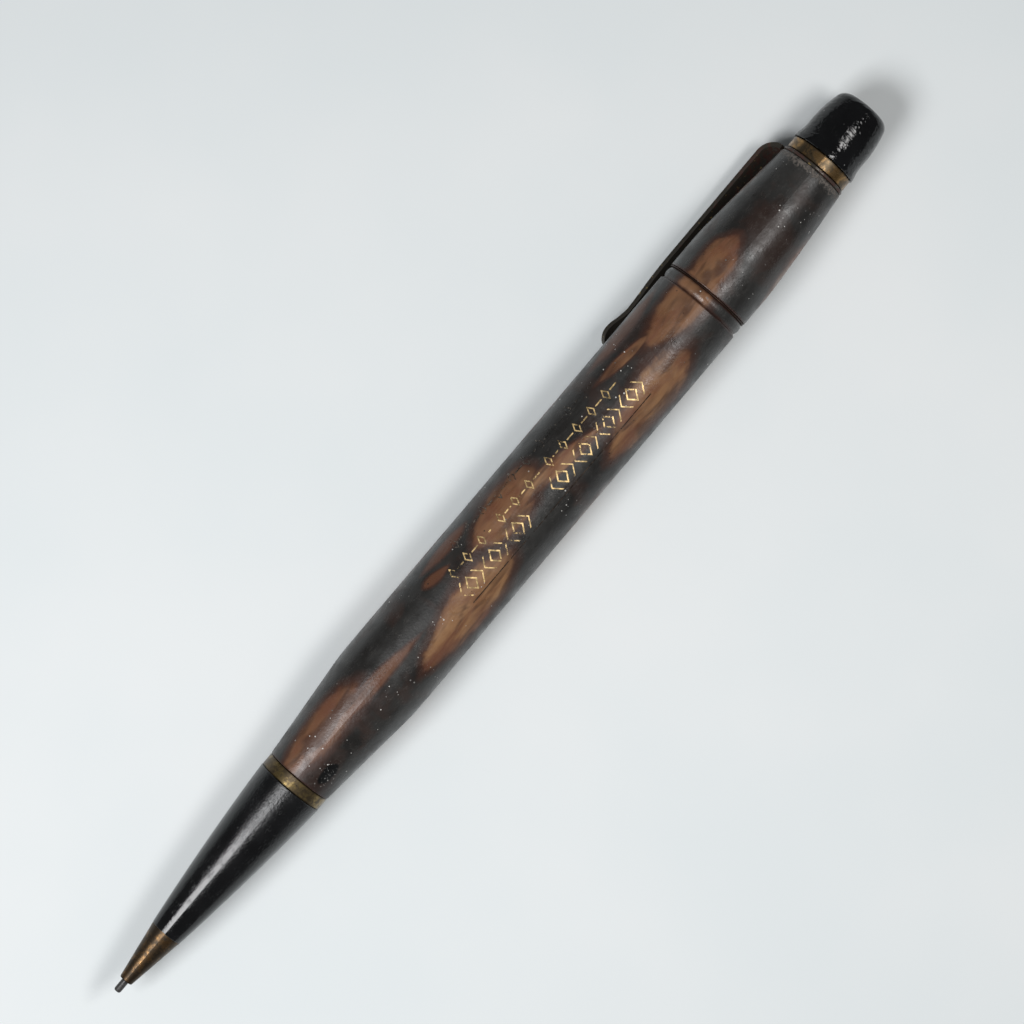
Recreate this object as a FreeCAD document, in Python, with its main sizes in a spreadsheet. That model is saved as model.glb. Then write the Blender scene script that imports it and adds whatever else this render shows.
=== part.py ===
"""A twist-action mechanical pencil with a marbled barrel, lying on its side.

Every length along the pencil is measured from the writing point, so the nose is at zero
and the end cap at the overall length. The document then moves each piece so that the
pencil's axis is parallel to X, with the nose at -X, the barrel rests on the plane Z = 0
and the origin is half way along, below the axis. Turning the cap turns the spiral tube,
whose helical slot drives the lug, the push rod and the lead along the guide tube.
"""
import FreeCAD, Part
import math
import os
import Sketcher

DIMENSIONS = {
    # overall
    "overall_length": 136.5,
    "fit_gap": 0.02,            # between pieces that are pressed or glued together
    "running_gap": 0.07,        # between pieces that turn or slide in each other
    "clip_turn": 35.6,          # degrees from level down to the clip's middle
    # lead and writing tip
    "lead_diameter": 0.9,
    "lead_shown": 1.65,
    "lead_length": 36.5,
    "tip_length": 7.41,
    "tip_mouth_radius": 0.86,
    "tip_base_radius": 2.03,
    "tip_spigot_length": 4.2,
    "tip_spigot_radius": 1.55,
    # nose cone and the ring behind it
    "nose_length": 22.5,
    "nose_front_radius": 2.07,
    "nose_back_radius": 4.28,
    "nose_crown": 319.0,
    "nose_spigot_length": 7.6,
    "nose_spigot_radius": 3.4,
    "front_ring_width": 1.64,
    "front_ring_radius": 4.235,
    # barrel
    "barrel_front_radius": 4.28,
    "barrel_radius": 5.57,
    "flare_end": 45.9,
    "flare_end_radius": 5.44,
    "shoulder_end": 48.7,
    "shoulder_radius": 30.0,
    "barrel_bore": 4.1,
    "groove_middle": 105.7,
    "groove_width": 0.24,
    "groove_depth": 0.22,
    "band_end": 107.2,
    "band_edge_radius": 5.3,
    "band_radius": 5.53,
    # cap that turns
    "thrust_washer_width": 0.16,
    "thrust_washer_radius": 5.5,
    "cap_radius": 5.56,
    "cap_shoulder": 111.3,
    "cap_taper_start": 113.4,
    "cap_taper_radius": 5.49,
    "cap_end": 126.3,
    "cap_end_radius": 4.36,
    "cap_crown": 400.0,
    "cap_bore": 3.32,
    "neck_radius": 4.0,
    "neck_bore": 3.0,
    "neck_reach": 8.6,
    "neck_hold": 5.6,
    "bearing_radius": 4.81,
    "bearing_length": 7.1,
    "snap_ring_radius": 4.4,
    "snap_ring_width": 0.6,
    # feed mechanism
    "guide_radius": 1.37,
    "guide_bore": 0.97,
    "guide_end": 64.0,
    "guide_slot_width": 0.68,
    "spiral_start": 35.0,
    "spiral_end": 112.0,
    "spiral_radius": 2.2,
    "spiral_bore": 1.45,
    "spiral_pitch": 5.0,
    "spiral_slot_width": 0.82,
    "lug_place": 58.0,
    "lug_diameter": 0.6,
    "feed_forward": 20.0,
    "feed_back": 3.0,
    "clutch_start": 33.5,
    "clutch_length": 4.5,
    "rod_end": 60.0,
    # fittings at the top
    "clip_washer_width": 0.4,
    "clip_washer_radius": 4.32,
    "top_ring_width": 1.57,
    "top_ring_radius": 4.18,
    "clamp_start": 117.0,
    "clamp_flange_radius": 3.7,
    "clamp_flange_width": 0.6,
    "clamp_spigot_radius": 2.95,
    "clamp_spigot_end": 132.0,
    "magazine_radius": 2.58,
    "magazine_bore": 2.3,
    "magazine_start": 113.4,
    "magazine_end": 131.0,
    "eraser_radius": 1.98,
    "eraser_end": 134.2,
    # end cap
    "end_cap_start": 128.4,
    "end_cap_rim_radius": 4.36,
    "end_cap_waist": 131.0,
    "end_cap_waist_radius": 4.07,
    "end_cap_corner": 135.0,
    "end_cap_corner_radius": 3.6,
    "end_cap_bore": 3.37,
    # clip
    "clip_thickness": 0.56,
    "clip_outer": 6.88,
    "clip_bend": 2.3,
    "clip_bend_place": 124.45,
    "clip_root": 4.46,
    "clip_neck_place": 100.2,
    "clip_neck_outer": 6.44,
    "clip_lip_end": 95.06,
    "clip_width": 3.6,
    "clip_spoon_width": 3.86,
}


class Size:
    """A length that knows its expression in the sheet as well as its value."""

    def __init__(self, text, value):
        self.text = text
        self.value = value

    def __add__(self, other):
        other = as_size(other)
        return Size(f"({self.text} + {other.text})", self.value + other.value)

    def __sub__(self, other):
        other = as_size(other)
        return Size(f"({self.text} - {other.text})", self.value - other.value)

    def __mul__(self, factor):
        return Size(f"({self.text} * {factor})", self.value * factor)


def as_size(length):
    """A plain number becomes a size of its own."""
    return length if isinstance(length, Size) else Size(f"({length})", float(length))


class Sheet:
    """The driving dimensions: sheet.name is the size kept under that alias."""

    def __init__(self, document, dimensions):
        cells = document.addObject("Spreadsheet::Sheet", "dimensions")
        for row, (alias, number) in enumerate(dimensions.items(), start=1):
            cells.set(f"A{row}", alias)
            cells.set(f"B{row}", str(number))
            cells.setAlias(f"B{row}", alias)
            setattr(self, alias, Size(f"dimensions.{alias}", float(number)))


document = FreeCAD.newDocument("pencil")
sheet = Sheet(document, DIMENSIONS)
document.recompute()

# Stations and radii that several pieces share, from the writing point to the end cap.
LEAD_RADIUS = sheet.lead_diameter * 0.5
TIP_BACK = sheet.lead_shown + sheet.tip_length
NOSE_BACK = TIP_BACK + sheet.nose_length
RING_FRONT = NOSE_BACK + sheet.fit_gap
RING_BACK = RING_FRONT + sheet.front_ring_width
BARREL_FRONT = RING_BACK + sheet.fit_gap
NOSE_SPIGOT_END = NOSE_BACK + sheet.nose_spigot_length
TIP_SPIGOT_END = TIP_BACK + sheet.tip_spigot_length
BUSH_START = NOSE_BACK - 5.5
BUSH_END = NOSE_BACK + 2.5
BEARING_END = sheet.band_end - 0.1
BEARING_START = BEARING_END - sheet.bearing_length
WASHER_FRONT = sheet.band_end + 0.04
WASHER_BACK = WASHER_FRONT + sheet.thrust_washer_width
CAP_FRONT = WASHER_BACK + 0.04
NECK_FRONT = sheet.band_end - sheet.neck_reach
NECK_END = CAP_FRONT + sheet.neck_hold
SNAP_BACK = BEARING_START - 0.1
SNAP_FRONT = SNAP_BACK - sheet.snap_ring_width
CLIP_WASHER_FRONT = sheet.cap_end + 0.04
CLIP_WASHER_BACK = CLIP_WASHER_FRONT + sheet.clip_washer_width
TOP_RING_FRONT = CLIP_WASHER_BACK + 0.04
TOP_RING_BACK = TOP_RING_FRONT + sheet.top_ring_width
CLUTCH_END = sheet.clutch_start + sheet.clutch_length
LUG_RADIUS = sheet.lug_diameter * 0.5

nodes = []


def place(piece, turned=False):
    """Moves a piece from the writing point's frame to the table, turned if it is the clip."""
    if turned:
        piece.Placement = FreeCAD.Placement(
            FreeCAD.Vector(), FreeCAD.Rotation(FreeCAD.Vector(1, 0, 0), 0))
        piece.setExpression("Placement.Rotation.Angle", "-1 deg * dimensions.clip_turn")
    piece.setExpression("Placement.Base.x", "-1 mm * dimensions.overall_length / 2")
    piece.setExpression("Placement.Base.z", "1 mm * dimensions.barrel_radius")
    nodes.append(piece)


def origin_feature(body, role):
    """One of the planes or axes of a body's own origin."""
    return next(each for each in body.Origin.OriginFeatures if each.Role == role)


def flat_sketch(body, name, plane):
    """An empty sketch on one of the body's own origin planes."""
    sketch = body.newObject("Sketcher::SketchObject", name)
    sketch.AttachmentSupport = [(origin_feature(body, plane), "")]
    sketch.MapMode = "FlatFace"
    return sketch


def bind(sketch, kind, *rest, size):
    """Adds a constraint whose value follows the sheet."""
    index = sketch.addConstraint(Sketcher.Constraint(kind, *rest, size.value))
    sketch.setExpression(f"Constraints[{index}]", size.text)


def arc_between(start, end, radius):
    """The short arc from start to end; a positive radius keeps its centre on the left."""
    chord = end - start
    across = FreeCAD.Vector(-chord.y, chord.x, 0).normalize()
    side = math.copysign(1, radius)
    height = math.sqrt(radius ** 2 - (chord.Length / 2) ** 2)
    centre = (start + end) / 2 + across * side * height
    circle = Part.Circle(centre, FreeCAD.Vector(0, 0, 1), abs(radius))
    first, last = (start, end) if radius > 0 else (end, start)
    return Part.ArcOfCircle(circle, circle.parameter(first), circle.parameter(last))


def draw_outline(sketch, corners):
    """Draws a closed outline and binds every corner and arc to the sheet.

    A corner is (along, out) or (along, out, radius), where the radius makes the edge to
    the next corner an arc, with its centre on the left if the radius is positive.
    """
    corners = [(as_size(c[0]), as_size(c[1]), as_size(c[2]) if len(c) > 2 else None)
               for c in corners]
    points = [FreeCAD.Vector(along.value, out.value, 0) for along, out, _ in corners]
    ends = []
    for index, (_, _, radius) in enumerate(corners):
        start, end = points[index], points[(index + 1) % len(points)]
        if radius is None:
            edge = sketch.addGeometry(Part.LineSegment(start, end), False)
            ends.append((edge, 1, 2))
        else:
            edge = sketch.addGeometry(arc_between(start, end, radius.value), False)
            ends.append((edge, 1, 2) if radius.value > 0 else (edge, 2, 1))
    for index, (edge, _, last) in enumerate(ends):
        after, first, _ = ends[(index + 1) % len(ends)]
        sketch.addConstraint(Sketcher.Constraint("Coincident", edge, last, after, first))
    for (along, out, radius), (edge, first, _) in zip(corners, ends):
        bind(sketch, "DistanceX", -1, 1, edge, first, size=along)
        bind(sketch, "DistanceY", -1, 1, edge, first, size=out)
        if radius is not None:
            size = radius if radius.value > 0 else radius * -1
            bind(sketch, "Radius", edge, size=size)


def turned_body(label, corners):
    """A piece turned about the pencil's axis, from the outline of its half section."""
    body = document.addObject("PartDesign::Body", label)
    sketch = flat_sketch(body, f"{label}_section", "XZ_Plane")
    draw_outline(sketch, corners)
    turn = body.newObject("PartDesign::Revolution", f"{label}_turn")
    turn.Profile = sketch
    turn.ReferenceAxis = (origin_feature(body, "X_Axis"), [""])
    turn.Angle = 360
    body.Label = label
    place(body)
    return body


def tube(label, start, end, outer, bore, edge=0.05):
    """A plain tube with its outer edges broken."""
    return turned_body(label, [
        (start, bore),
        (start, outer - edge),
        (start + edge, outer),
        (end - edge, outer),
        (end, outer - edge),
        (end, bore),
    ])


def cut_slot(body, name, start, end, width, depth):
    """A slot with round ends, cut from above through the wall over the axis."""
    document.recompute()
    before = body.Shape.Volume
    sketch = flat_sketch(body, name, "XY_Plane")
    half = width * 0.5
    round_end = width * 0.52
    draw_outline(sketch, [
        (start, half * -1),
        (end, half * -1, round_end),
        (end, half),
        (start, half, round_end),
    ])
    cut = body.newObject("PartDesign::Pocket", f"{name}_cut")
    cut.Profile = sketch
    cut.Length = depth.value
    cut.setExpression("Length", depth.text)
    cut.Reversed = True
    document.recompute()
    if body.Shape.Volume >= before:
        raise ValueError(f"{name} cuts nothing")


def barrel_pieces():
    """The pieces that stand still: tip, nose, ring, barrel, guide and bearing."""
    lead_hole = LEAD_RADIUS + 0.05
    tip_edge = 0.1
    turned_body("writing_tip", [
        (sheet.lead_shown, lead_hole),
        (sheet.lead_shown, sheet.tip_mouth_radius - tip_edge, tip_edge * -1.2),
        (sheet.lead_shown + tip_edge, sheet.tip_mouth_radius),
        (TIP_BACK, sheet.tip_base_radius),
        (TIP_BACK, sheet.tip_spigot_radius),
        (TIP_SPIGOT_END, sheet.tip_spigot_radius),
        (TIP_SPIGOT_END, lead_hole),
    ])

    nose_front = TIP_BACK + sheet.fit_gap
    tip_socket = sheet.tip_spigot_radius + sheet.fit_gap
    guide_hole = sheet.guide_radius + sheet.fit_gap
    bush_radius = guide_hole + 1.23
    turned_body("nose_cone", [
        (nose_front, tip_socket),
        (nose_front, sheet.nose_front_radius - 0.04),
        (nose_front + 0.04, sheet.nose_front_radius, sheet.nose_crown * -1),
        (NOSE_BACK - 0.08, sheet.nose_back_radius),
        (NOSE_BACK, sheet.nose_back_radius - 0.08),
        (NOSE_BACK, sheet.nose_spigot_radius),
        (NOSE_SPIGOT_END - 0.2, sheet.nose_spigot_radius),
        (NOSE_SPIGOT_END, sheet.nose_spigot_radius - 0.2),
        (NOSE_SPIGOT_END, bush_radius + sheet.fit_gap),
        (BUSH_START - sheet.fit_gap, bush_radius + sheet.fit_gap),
        (BUSH_START - sheet.fit_gap, guide_hole),
        (TIP_SPIGOT_END + sheet.fit_gap, guide_hole),
        (TIP_SPIGOT_END + sheet.fit_gap, tip_socket),
    ])
    tube("guide_bush", BUSH_START, BUSH_END, bush_radius, guide_hole)

    ring_bore = sheet.nose_spigot_radius + sheet.fit_gap
    ring_edge = 0.09
    turned_body("front_ring", [
        (RING_FRONT, ring_bore),
        (RING_FRONT, sheet.front_ring_radius - ring_edge),
        (RING_FRONT + ring_edge, sheet.front_ring_radius),
        (RING_BACK - ring_edge, sheet.front_ring_radius),
        (RING_BACK, sheet.front_ring_radius - ring_edge),
        (RING_BACK, ring_bore),
    ])

    front_edge = 0.12
    groove_front = sheet.groove_middle - sheet.groove_width * 0.5
    groove_back = sheet.groove_middle + sheet.groove_width * 0.5
    groove_floor = sheet.barrel_radius - sheet.groove_depth
    turned_body("barrel_tube", [
        (BARREL_FRONT, ring_bore),
        (BARREL_FRONT, sheet.barrel_front_radius - front_edge, front_edge * -1.1),
        (BARREL_FRONT + front_edge, sheet.barrel_front_radius),
        (sheet.flare_end, sheet.flare_end_radius, sheet.shoulder_radius * -1),
        (sheet.shoulder_end, sheet.barrel_radius),
        (groove_front - 0.1, sheet.barrel_radius),
        (groove_front, sheet.barrel_radius - 0.06),
        (sheet.groove_middle, groove_floor),
        (groove_back, sheet.band_edge_radius, -1.25),
        (sheet.band_end, sheet.band_edge_radius),
        (sheet.band_end, sheet.bearing_radius + sheet.fit_gap),
        (NECK_FRONT - 0.6, sheet.bearing_radius + sheet.fit_gap),
        (NECK_FRONT - 1.6, sheet.barrel_bore),
        (sheet.shoulder_end, sheet.barrel_bore),
        (NOSE_SPIGOT_END + 2, ring_bore),
    ])
    tube("rear_bearing", BEARING_START, BEARING_END, sheet.bearing_radius,
         sheet.neck_radius + sheet.running_gap)

    guide = tube("guide_tube", TIP_SPIGOT_END + sheet.fit_gap * 2, sheet.guide_end,
                 sheet.guide_radius, sheet.guide_bore)
    cut_slot(guide, "guide_slot", sheet.lug_place - sheet.feed_forward - 0.2,
             sheet.lug_place + sheet.feed_back + 0.2, sheet.guide_slot_width,
             sheet.guide_radius + 1)


def cap_pieces():
    """The pieces that turn together with the cap."""
    neck_hole = sheet.neck_radius + sheet.fit_gap
    cap_edge = 0.14
    turned_body("cap_tube", [
        (CAP_FRONT, neck_hole),
        (CAP_FRONT, sheet.cap_radius - cap_edge, cap_edge * -1.1),
        (CAP_FRONT + cap_edge, sheet.cap_radius),
        (sheet.cap_shoulder, sheet.cap_radius, -40),
        (sheet.cap_taper_start, sheet.cap_taper_radius, sheet.cap_crown * -1),
        (sheet.cap_end - 0.2, sheet.cap_end_radius, -0.24),
        (sheet.cap_end, sheet.cap_end_radius - 0.22),
        (sheet.cap_end, sheet.cap_bore),
        (NECK_END + sheet.fit_gap, sheet.cap_bore),
        (NECK_END + sheet.fit_gap, neck_hole),
    ])
    tube("thrust_washer", WASHER_FRONT, WASHER_BACK, sheet.thrust_washer_radius, neck_hole, 0.03)

    groove_floor = sheet.neck_radius - 0.3
    turned_body("cap_neck", [
        (NECK_FRONT, sheet.neck_bore),
        (NECK_FRONT, sheet.neck_radius - 0.1),
        (NECK_FRONT + 0.1, sheet.neck_radius),
        (SNAP_FRONT - 0.04, sheet.neck_radius),
        (SNAP_FRONT - 0.04, groove_floor),
        (SNAP_BACK + 0.04, groove_floor),
        (SNAP_BACK + 0.04, sheet.neck_radius),
        (NECK_END, sheet.neck_radius),
        (NECK_END, sheet.neck_bore),
    ])
    snap_ring = turned_body("snap_ring", [
        (SNAP_FRONT, groove_floor + sheet.fit_gap),
        (SNAP_FRONT, sheet.snap_ring_radius),
        (SNAP_BACK, sheet.snap_ring_radius),
        (SNAP_BACK, groove_floor + sheet.fit_gap),
    ])
    snap_middle = (SNAP_FRONT + SNAP_BACK) * 0.5
    cut_slot(snap_ring, "snap_ring_mouth", snap_middle - 2, snap_middle + 2, as_size(4),
             sheet.snap_ring_radius + 1)

    tube("drive_bush", NECK_FRONT + 5, sheet.spiral_end, sheet.neck_bore - sheet.fit_gap,
         sheet.spiral_radius + sheet.fit_gap)
    spiral_tube()

    ring_hole = sheet.cap_bore
    tube("clip_washer", CLIP_WASHER_FRONT, CLIP_WASHER_BACK, sheet.clip_washer_radius,
         ring_hole, 0.1)
    ring_edge = 0.1
    flange_front = TOP_RING_BACK - sheet.clamp_flange_width
    flange_room = sheet.clamp_flange_radius + sheet.fit_gap
    turned_body("top_ring", [
        (TOP_RING_FRONT, ring_hole),
        (TOP_RING_FRONT, sheet.top_ring_radius - ring_edge),
        (TOP_RING_FRONT + ring_edge, sheet.top_ring_radius),
        (TOP_RING_BACK - ring_edge, sheet.top_ring_radius),
        (TOP_RING_BACK, sheet.top_ring_radius - ring_edge),
        (TOP_RING_BACK, flange_room),
        (flange_front - sheet.fit_gap, flange_room),
        (flange_front - sheet.fit_gap, ring_hole),
    ])
    clamp_bore = sheet.magazine_radius + sheet.fit_gap
    clamp_body_radius = sheet.cap_bore - sheet.fit_gap
    turned_body("clamp_bush", [
        (sheet.clamp_start, clamp_bore),
        (sheet.clamp_start, clamp_body_radius),
        (flange_front, clamp_body_radius),
        (flange_front, sheet.clamp_flange_radius),
        (TOP_RING_BACK, sheet.clamp_flange_radius),
        (TOP_RING_BACK, sheet.clamp_spigot_radius),
        (sheet.clamp_spigot_end - 0.15, sheet.clamp_spigot_radius),
        (sheet.clamp_spigot_end, sheet.clamp_spigot_radius - 0.15),
        (sheet.clamp_spigot_end, clamp_bore),
    ])
    magazine_floor = sheet.magazine_start + 0.4
    turned_body("lead_magazine", [
        (sheet.magazine_start, 0),
        (sheet.magazine_start, sheet.magazine_radius),
        (sheet.magazine_end, sheet.magazine_radius),
        (sheet.magazine_end, sheet.magazine_bore),
        (magazine_floor, sheet.magazine_bore),
        (magazine_floor, 0),
    ])
    spare_leads(magazine_floor + 0.2)

    ferrule_radius = sheet.magazine_bore - sheet.fit_gap
    ferrule_start = sheet.magazine_end - 2.6
    flange_start = sheet.magazine_end + 0.02
    eraser_hole = sheet.eraser_radius + sheet.fit_gap
    turned_body("eraser_ferrule", [
        (ferrule_start, 0),
        (ferrule_start, ferrule_radius),
        (flange_start, ferrule_radius),
        (flange_start, ferrule_radius + 0.25),
        (flange_start + 0.3, ferrule_radius + 0.25),
        (flange_start + 0.3, eraser_hole),
        (ferrule_start + 0.4, eraser_hole),
        (ferrule_start + 0.4, 0),
    ])
    eraser_start = ferrule_start + 0.42
    turned_body("eraser", [
        (eraser_start, 0),
        (eraser_start, sheet.eraser_radius),
        (sheet.eraser_end - 0.7, sheet.eraser_radius, -0.75),
        (sheet.eraser_end, sheet.eraser_radius - 0.75, -5),
        (sheet.eraser_end + 0.15, 0),
    ])


def spiral_tube():
    """The tube whose helical slot drives the lug, right-handed about +X."""
    blank = tube("spiral_blank", sheet.spiral_start, sheet.spiral_end, sheet.spiral_radius,
                 sheet.spiral_bore)
    nodes.remove(blank)
    document.recompute()
    pitch = sheet.spiral_pitch.value
    reach = sheet.feed_forward.value + sheet.feed_back.value + 1.0
    first = sheet.lug_place.value - sheet.feed_forward.value - 0.5
    half = sheet.spiral_slot_width.value / 2
    tilt = math.atan2(2 * math.pi * sheet.spiral_radius.value, pitch)
    inner = sheet.spiral_bore.value - 0.4
    outer = sheet.spiral_radius.value + 0.4

    # The cutter is a thin rectangle, square to the helix, swept along it.
    helix = Part.makeHelix(pitch, reach, sheet.spiral_radius.value)
    along = half / math.sin(tilt)
    rectangle = Part.makePolygon([
        FreeCAD.Vector(inner, 0, -along),
        FreeCAD.Vector(outer, 0, -along),
        FreeCAD.Vector(outer, 0, along),
        FreeCAD.Vector(inner, 0, along),
        FreeCAD.Vector(inner, 0, -along),
    ])
    sweep = Part.BRepOffsetAPI.MakePipeShell(Part.Wire(helix))
    sweep.setFrenetMode(True)
    sweep.add(rectangle)
    sweep.build()
    sweep.makeSolid()
    cutter = document.addObject("Part::Feature", "spiral_cutter")
    shape = sweep.shape()
    # The helix rises along +Z: lay it along +X, with the lug's own turn pointing up.
    to_axis = FreeCAD.Rotation(FreeCAD.Vector(0, 1, 0), 90)
    turns_to_lug = (sheet.lug_place.value - first) / pitch
    facing = FreeCAD.Rotation(FreeCAD.Vector(1, 0, 0), 180 - 360 * turns_to_lug)
    cutter.Shape = shape
    cutter.Placement = FreeCAD.Placement(FreeCAD.Vector(first, 0, 0), facing * to_axis)
    slotted = document.addObject("Part::Cut", "spiral_tube")
    slotted.Base = blank
    slotted.Tool = cutter
    slotted.Label = "spiral_tube"
    blank.setExpression("Placement.Base.x", None)
    blank.setExpression("Placement.Base.z", None)
    blank.Placement = FreeCAD.Placement()
    place(slotted)
    document.recompute()
    if slotted.Shape.Volume >= blank.Shape.Volume:
        raise ValueError("the helical slot cuts nothing")


def spare_leads(start):
    """Four short leads that lie loose in the magazine, as one node."""
    ring = 1.3
    count = 4
    rods = []
    for index in range(count):
        turn = math.radians(20 + 90 * index)
        rod = document.addObject("Part::Cylinder", f"spare_lead_{index + 1}")
        rod.setExpression("Radius", LEAD_RADIUS.text)
        rod.Height = 13.2 - 0.4 * index
        rod.Placement = FreeCAD.Placement(
            FreeCAD.Vector(start.value, ring * math.cos(turn), ring * math.sin(turn)),
            FreeCAD.Rotation(FreeCAD.Vector(0, 1, 0), 90))
        rods.append(rod)
    bundle = document.addObject("Part::Compound", "spare_leads")
    bundle.Links = rods
    bundle.Label = "spare_leads"
    place(bundle)


def feed_pieces():
    """The push rod, its lug and clutch, and the lead: they slide along the guide tube."""
    slide_radius = sheet.guide_bore - sheet.running_gap
    grip = LEAD_RADIUS + 0.01
    lead_grip_depth = 3.1
    clutch = turned_body("lead_clutch", [
        (sheet.clutch_start, grip),
        (sheet.clutch_start, slide_radius - 0.12),
        (sheet.clutch_start + 0.2, slide_radius),
        (CLUTCH_END, slide_radius),
        (CLUTCH_END, grip),
    ])
    cut_slot(clutch, "clutch_split", sheet.clutch_start - 1, sheet.clutch_start + 2.6,
             as_size(0.24), slide_radius + 1)
    rod = turned_body("push_rod", [
        (sheet.clutch_start + lead_grip_depth + 0.1, 0),
        (sheet.clutch_start + lead_grip_depth + 0.1, grip - 0.02),
        (CLUTCH_END + 0.02, grip - 0.02),
        (CLUTCH_END + 0.02, slide_radius),
        (sheet.rod_end - 0.15, slide_radius),
        (sheet.rod_end, slide_radius - 0.15),
        (sheet.rod_end, 0),
    ])
    document.recompute()
    before = rod.Shape.Volume
    through_rod = 2
    hole_sketch = flat_sketch(rod, "lug_hole", "XY_Plane")
    circle = Part.Circle(FreeCAD.Vector(sheet.lug_place.value, 0, 0),
                         FreeCAD.Vector(0, 0, 1), LUG_RADIUS.value)
    edge = hole_sketch.addGeometry(circle, False)
    bind(hole_sketch, "DistanceX", -1, 1, edge, 3, size=sheet.lug_place)
    hole_sketch.addConstraint(Sketcher.Constraint("PointOnObject", edge, 3, -1))
    bind(hole_sketch, "Radius", edge, size=LUG_RADIUS + 0.01)
    hole = rod.newObject("PartDesign::Pocket", "lug_hole_cut")
    hole.Profile = hole_sketch
    hole.Length = through_rod
    hole.Reversed = True
    document.recompute()
    if rod.Shape.Volume >= before:
        raise ValueError("the lug's hole cuts nothing")

    lug_foot = 0.01
    lug = document.addObject("Part::Cylinder", "feed_lug")
    lug.Label = "feed_lug"
    lug.setExpression("Radius", LUG_RADIUS.text)
    lug.setExpression("Height", (sheet.spiral_radius - lug_foot - 0.06).text)
    nodes.append(lug)
    lug.setExpression("Placement.Base.x",
                      "1 mm * (dimensions.lug_place - dimensions.overall_length / 2)")
    lug.setExpression("Placement.Base.z", f"1 mm * (dimensions.barrel_radius + {lug_foot})")

    worn = 0.3
    turned_body("lead", [
        (0, 0),
        (0, LEAD_RADIUS - 0.13),
        (worn * 0.35, LEAD_RADIUS - 0.04, -0.5),
        (worn, LEAD_RADIUS),
        (sheet.lead_length, LEAD_RADIUS),
        (sheet.lead_length, 0),
    ])


def end_cap_pieces():
    """The glossy end cap and the sleeve inside it that grips the clamp bush."""
    start = sheet.end_cap_start
    step = sheet.clamp_spigot_end + 0.6
    roof = sheet.eraser_end + 0.6
    turned_body("end_cap", [
        (start, sheet.end_cap_bore),
        (start, sheet.end_cap_rim_radius - 0.07),
        (start + 0.07, sheet.end_cap_rim_radius),
        (start + 0.55, sheet.end_cap_rim_radius - 0.05, 6),
        (sheet.end_cap_waist, sheet.end_cap_waist_radius, -14),
        (sheet.end_cap_corner, sheet.end_cap_corner_radius, -1.4),
        (sheet.overall_length - 0.25, sheet.end_cap_corner_radius - 1.4, -9.5),
        (sheet.overall_length, 0),
        (roof, 0),
        (roof, 2.75),
        (step, 2.75),
        (step, sheet.end_cap_bore),
    ])
    tube("end_cap_sleeve", start + 0.1, step - sheet.fit_gap,
         sheet.end_cap_bore - sheet.fit_gap, sheet.clamp_spigot_radius + sheet.running_gap)


def clip_pieces():
    """The clip's strap, drawn along +Y from the axis: side view, plan and their common part."""
    side = document.addObject("PartDesign::Body", "clip_side")
    sketch = flat_sketch(side, "clip_side_view", "XY_Plane")
    thick = sheet.clip_thickness
    outer = sheet.clip_outer
    inner = outer - thick
    bend = sheet.clip_bend
    bend_end = sheet.clip_bend_place + bend
    neck = sheet.clip_neck_place
    neck_outer = sheet.clip_neck_outer
    lip_rise = 0.32
    draw_outline(sketch, [
        (bend_end, sheet.clip_root),
        (bend_end, outer - bend, bend),
        (sheet.clip_bend_place, outer),
        (neck + 8, outer, 60),
        (neck + 3.6, outer - 0.18, -40),
        (neck, neck_outer, -6),
        (neck - 2.4, neck_outer + lip_rise, 5),
        (sheet.clip_lip_end + 0.5, neck_outer + lip_rise - 0.05, 0.5),
        (sheet.clip_lip_end, neck_outer + lip_rise - 0.5),
        (sheet.clip_lip_end + 0.3, neck_outer + lip_rise - thick - 0.1, -5),
        (neck - 2.2, neck_outer + lip_rise - thick, 6),
        (neck, neck_outer - thick, 40),
        (neck + 3.6, inner - 0.18, -60),
        (neck + 8, inner),
        (sheet.clip_bend_place, inner, (bend - thick) * -1),
        (bend_end - thick, outer - bend),
        (bend_end - thick, sheet.clip_root),
    ])
    pad = side.newObject("PartDesign::Pad", "clip_side_pad")
    pad.Profile = sketch
    pad.Length = 10
    pad.Midplane = True

    plan = document.addObject("PartDesign::Body", "clip_plan")
    outline = flat_sketch(plan, "clip_plan_view", "XZ_Plane")
    half = sheet.clip_width * 0.5
    spoon = sheet.clip_spoon_width * 0.5
    neck_half = half - 0.2
    draw_outline(outline, [
        (sheet.clip_lip_end, 0, spoon * 1.02),
        (sheet.clip_lip_end + spoon, spoon * -1, 12),
        (neck, neck_half * -1),
        (bend_end + 1, half * -1),
        (bend_end + 1, half),
        (neck, neck_half, 12),
        (sheet.clip_lip_end + spoon, spoon, spoon * 1.02),
    ])
    plate = plan.newObject("PartDesign::Pad", "clip_plan_pad")
    plate.Profile = outline
    plate.Length = 24
    plate.Midplane = True
    document.recompute()

    strap = document.addObject("Part::MultiCommon", "clip_strap")
    strap.Shapes = [side, plan]
    strap.Label = "clip_strap"
    place(strap, turned=True)


def write_nodes():
    """Checks every object and writes one STEP file for each sub-part."""
    document.recompute()
    for each in document.Objects:
        if "Invalid" in each.State or "Error" in each.State:
            raise ValueError(f"{each.Label} failed: {each.State}")
    os.makedirs("parts", exist_ok=True)
    for node in nodes:
        shape = node.Shape
        if shape.isNull() or not shape.isValid():
            raise ValueError(f"{node.Label} has no valid shape")
        shape.exportStep(f"parts/{node.Label}.step")


barrel_pieces()
cap_pieces()
feed_pieces()
end_cap_pieces()
clip_pieces()
write_nodes()
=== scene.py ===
"""The finishes, stamped ornament and studio of a marbled twist-action mechanical pencil."""

import math

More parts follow.
